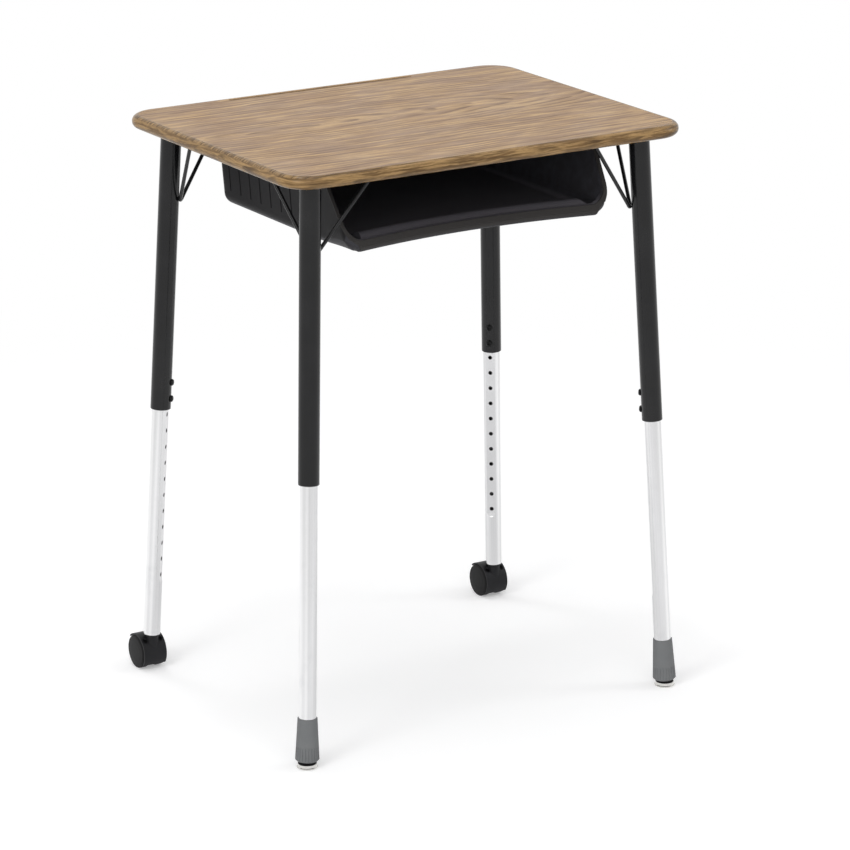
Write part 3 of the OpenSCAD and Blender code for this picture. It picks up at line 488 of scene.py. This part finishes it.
# The CAD mesh is cut finer near the corners first, so that it can follow the rounds.
moulding = bmesh.new()
moulding.from_mesh(cad["book_box"].data)
bmesh.ops.remove_doubles(moulding, verts=moulding.verts, dist=0.000002)
cuts = [
    ((side, 0, 0), side * (bend_x + 0.0001 + step * wide_x / 9))
    for side in (-1, 1) for step in range(10)
]
cuts += [((0, 0, 1), box_floor_z + 0.0002 + step * wide_z / 12) for step in range(13)]
cuts += [((0, 0, 1), box_floor_z + lip_line + step) for step in (-lip_line_half, 0, lip_line_half)]
cuts += [((0, 1, 0), opens_to - 0.021 + step * 0.003) for step in range(8)]
cuts += [((0, 1, 0), opens_to + 0.007 + step * 0.0075) for step in range(9)]
for way_cut, at in cuts:
    front_faces = [
        f for f in moulding.faces
        if min(v.co.y for v in f.verts) < opens_from and min(v.co.z for v in f.verts) < bend_z
        and (max(abs(v.co.x) for v in f.verts) > bend_x or way_cut == (0, 0, 1))
    ]
    edges = {e for f in front_faces for e in f.edges}
    verts = {v for f in front_faces for v in f.verts}
    middle = Vector(way_cut) * (at if way_cut[0] == 0 else abs(at))
    bmesh.ops.bisect_plane(
        moulding, geom=[*verts, *edges, *front_faces], plane_co=middle, plane_no=way_cut, dist=0.000005,
    )

# A fine line runs along the face of the lip.
for v in moulding.verts:
    at_lip = abs(math.hypot(v.co.x, v.co.y - bow_middle_y) - lip_face_radius) < lip_face_near
    if at_lip and abs(v.co.z - box_floor_z - lip_line) < 0.00001:
        v.co.y += lip_line_deep

# The small round along the box opens out to the wide one. The outer face of the wall is drawn in by
# the full amount, and what lies nearer the middle of the round by less.
for v in moulding.verts:
    off_x, off_z = abs(v.co.x) - bend_x, bend_z - v.co.z
    far = math.hypot(off_x, off_z)
    opened = min(max((opens_from - v.co.y) / (opens_from - opens_to), 0), 1)
    if off_x <= 0 or off_z <= 0 or opened == 0 or far < 0.000001:
        continue
    now = wall_reach(off_x / far, -off_z / far)
    wanted = far / math.hypot(off_x / wide_x, off_z / wide_z)
    keep = 1 - (1 - min(wanted / now, 1)) * min(far / now, 1) ** 2 * opened * opened * (3 - 2 * opened)
    v.co.x = math.copysign(bend_x + off_x * keep, v.co.x)
    v.co.z = bend_z - off_z * keep

# The very corner is drawn in to a ball.
corner_fade = 0.3
for v in moulding.verts:
    side_off, front_off, down_off = abs(v.co.x) - ball_at[0], ball_at[1] - v.co.y, ball_at[2] - v.co.z
    if min(side_off, front_off, down_off) <= 0:
        continue
    over_ball = math.hypot(side_off / ball_wide, front_off / ball_wide, down_off / ball_high)
    if over_ball > 1:
        slant = math.atan2(side_off, front_off)
        share = min(math.sin(slant) / corner_fade, 1) * min(math.cos(slant) / corner_fade, 1)
        pull = 1 + (1 / over_ball - 1) * share
        v.co.x = math.copysign(ball_at[0] + side_off * pull, v.co.x)
        v.co.y = ball_at[1] - front_off * pull
        v.co.z = ball_at[2] - down_off * pull

box_mesh = bpy.data.meshes.new("book_box_moulding")
moulding.to_mesh(box_mesh)
moulding.free()
if "custom_normal" in box_mesh.attributes:
    box_mesh.attributes.remove(box_mesh.attributes["custom_normal"])
box_mesh.shade_smooth()
box_mesh.set_sharp_from_angle(angle=math.radians(26))
box_mesh.materials.clear()
box_mesh.materials.append(box_plastic)
box_piece = bpy.data.objects.new("book_box_moulding", box_mesh)
bpy.context.scene.collection.objects.link(box_piece)
even = box_piece.modifiers.new("even_shading", "WEIGHTED_NORMAL")
even.keep_sharp = True
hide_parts("book_box")
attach(box_piece, "desk")


# The steel: welded tube, bent wire and pressed plate, powder-coated black after welding.
# The coat has a slight orange-peel skin and goes a little paler where it is rubbed.
black_paint, paint_at, paint_shader = start_finish("black_frame_paint")
peel = noise(paint_at["Object"], 420.0, 2.0, 0.5)
dust = noise(paint_at["Object"], 18.0, 4.0, 0.6)
powder_black = tone(spread(dust, 0.35, 0.7), paint(17, 17, 18), paint(24, 24, 25))
rubbed_dull = spread(dust, 0.3, 0.7, 0.14, 0.2)
feed(paint_shader, {"Base Color": powder_black, "Roughness": rubbed_dull, "Specular IOR Level": 0.32})
bump(paint_shader, peel, 0.00006, 0.3)
legs = ("fl", "fr", "bl", "br")
coat(black_paint, *(f"{piece}_{leg}" for leg in legs for piece in ("mount_plate", "upper_leg", "leg_brace")))


# The weld that joins each leg to its plate: a bead laid by hand round the top of the tube, in short
# overlapping drops, and painted over with the rest.
def weld_bead(name, middle, axis, ring_radius):
    """A bumpy ring of weld round an axis, made of overlapping drops."""
    bead_radius, drop_count = 0.0022, 17
    bead = bmesh.new()
    turn_to_axis = Vector((0, 0, 1)).rotation_difference(axis)
    around_count, section_count = drop_count * 4, 8
    rows = []
    for i in range(around_count):
        angle = 2 * math.pi * i / around_count
        drop = 0.18 * abs(math.cos(angle * drop_count / 2))
        by_hand = 0.05 * math.sin(angle * 3.0 + middle.x * 40)
        swell = 0.82 + drop + by_hand
        row = []
        for j in range(section_count):
            section = 2 * math.pi * j / section_count
            out = ring_radius + bead_radius * swell * math.cos(section)
            rise = bead_radius * swell * math.sin(section)
            at = Vector((math.cos(angle) * out, math.sin(angle) * out, rise))
            row.append(bead.verts.new(middle + turn_to_axis @ at))
        rows.append(row)
    for i in range(around_count):
        for j in range(section_count):
            a, b = rows[i], rows[(i + 1) % around_count]
            k = (j + 1) % section_count
            bead.faces.new((a[j], b[j], b[k], a[k]))
    bmesh.ops.recalc_face_normals(bead, faces=bead.faces)
    mesh = bpy.data.meshes.new(name)
    bead.to_mesh(mesh)
    bead.free()
    mesh.shade_smooth()
    mesh.materials.append(black_paint)
    piece = bpy.data.objects.new(name, mesh)
    bpy.context.scene.collection.objects.link(piece)
    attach(piece, "desk")


end_band = 0.003
bead_drop, bead_out = 0.0012, 0.0006
for leg in legs:
    plate_under_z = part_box(f"mount_plate_{leg}")[0][2]
    tube = cad[f"upper_leg_{leg}"].data.vertices
    top_z = max(v.co.z for v in tube)
    low_z = min(v.co.z for v in tube)
    high_points = [v.co for v in tube if v.co.z > top_z - end_band]
    low_points = [v.co for v in tube if v.co.z < low_z + end_band]
    tube_top = sum(high_points, Vector()) / len(high_points)
    tube_foot = sum(low_points, Vector()) / len(low_points)
    tube_radius = max(abs(p.x - tube_top.x) for p in high_points)
    lean = (tube_top - tube_foot).normalized()
    weld_middle = tube_top - lean * (tube_top.z - plate_under_z + bead_drop)
    weld_bead(f"plate_weld_{leg}", weld_middle, lean, tube_radius + bead_out)


# Screws: zinc-plated pan-head wood screws under the top, and two black socket screws in each
# leg that hold its height.
zinc, zinc_at, zinc_shader = start_finish("zinc_screw")
bloom = noise(zinc_at["Object"], 900.0, 3.0)
feed(zinc_shader, {
    "Base Color": tone(bloom, paint(150, 148, 142), paint(196, 196, 192)),
    "Metallic": 1.0,
    "Roughness": spread(bloom, 0.3, 0.7, 0.28, 0.42),
})
coat(zinc, "box_screws", "plate_screws")

black_oxide, oxide_at, oxide_shader = start_finish("black_screw")
oxide = noise(oxide_at["Object"], 700.0, 3.0)
feed(oxide_shader, {
    "Base Color": tone(oxide, paint(9, 9, 10), paint(18, 18, 19)),
    "Specular IOR Level": 0.15,
    "Roughness": spread(oxide, 0.3, 0.7, 0.3, 0.45),
})
coat(black_oxide, "height_screws")


# The lower tubes: thin steel, drilled on a pressed flat and plated bright. Sliding in and out of
# the upper tubes has drawn faint lines along them. Broad light and dark bands round each tube are painted
# reflection.
plating, plating_at, plating_shader = start_finish("plated_leg")
way = split(plating_at["Normal"])
which = calc("SIGN", split(plating_at["Object"])[0])
around = join(way[0], way[1], which)
# Broad bands set by which way the surface faces: a painted reflection, one side of each tube paler than the
# other.
painted_reflection_bands = noise(around, 0.8, 2.0, 0.5)
draw_lines = noise(around, 14.0, 3.0, 0.6)
stains = noise(plating_at["Object"], 26.0, 4.0, 0.6)
bright = tone(spread(painted_reflection_bands, 0.34, 0.64), paint(208, 208, 209), paint(240, 240, 240))
bright = tone(spread(draw_lines, 0.35, 0.7, 0.0, 0.4), bright, paint(224, 224, 225))
bright = tone(spread(stains, 0.55, 0.8, 0.0, 0.3), bright, paint(190, 191, 194))
stain_dull = spread(stains, 0.3, 0.7, 0.12, 0.2)
feed(plating_shader, {
    "Base Color": bright,
    "Metallic": 1.0,
    "Roughness": calc("MULTIPLY_ADD", draw_lines, 0.1, stain_dull),
})
bump(plating_shader, draw_lines, 0.00003, 0.5)
coat(plating, *(f"lower_leg_{leg}" for leg in legs))


# The front feet: grey soft plastic caps, fluted near the floor, on nickel-plated glides that
# tilt on a ball, with a dark rubber washer round the neck.
foot_grey = moulded_plastic("grey_foot_cap", (104, 106, 107), (113, 114, 115), 0.6, 0.6, 0.0001, 0.3)
rubber = moulded_plastic("cushion_rubber", (22, 22, 23), (34, 34, 35), 0.7, 0.5, 0.0001, 0.3)
coat(foot_grey, "foot_cap_fl", "foot_cap_fr")
coat(rubber, "glide_washer_fl", "glide_washer_fr")
nickel, nickel_at, nickel_shader = start_finish("glide_nickel")
turned = noise(nickel_at["Object"], 500.0, 3.0)
feed(nickel_shader, {
    "Base Color": tone(turned, paint(196, 194, 190), paint(228, 227, 224)),
    "Metallic": 1.0,
    "Roughness": spread(turned, 0.3, 0.7, 0.12, 0.22),
})
coat(nickel, "glide_base_fl", "glide_base_fr", "glide_stud_fl", "glide_stud_fr")


# The casters: a hood between two wheels, on a plain steel stem that turns in a plastic socket.
hood_plastic = moulded_plastic("caster_plastic", (20, 20, 22), (27, 27, 30), 0.45, 0.5, 0.00008, 0.2)
wheel_plastic = moulded_plastic("wheel_plastic", (12, 12, 13), (17, 16, 17), 0.45, 0.5, 0.00006, 0.13)
coat(hood_plastic, "caster_hood_bl", "caster_hood_br", "stem_socket_bl", "stem_socket_br")
coat(wheel_plastic, *(f"wheel_{leg}_{hand}" for leg in ("bl", "br") for hand in ("left", "right")))
coat(nickel, "caster_stem_bl", "caster_stem_br", "caster_axle_bl", "caster_axle_br")
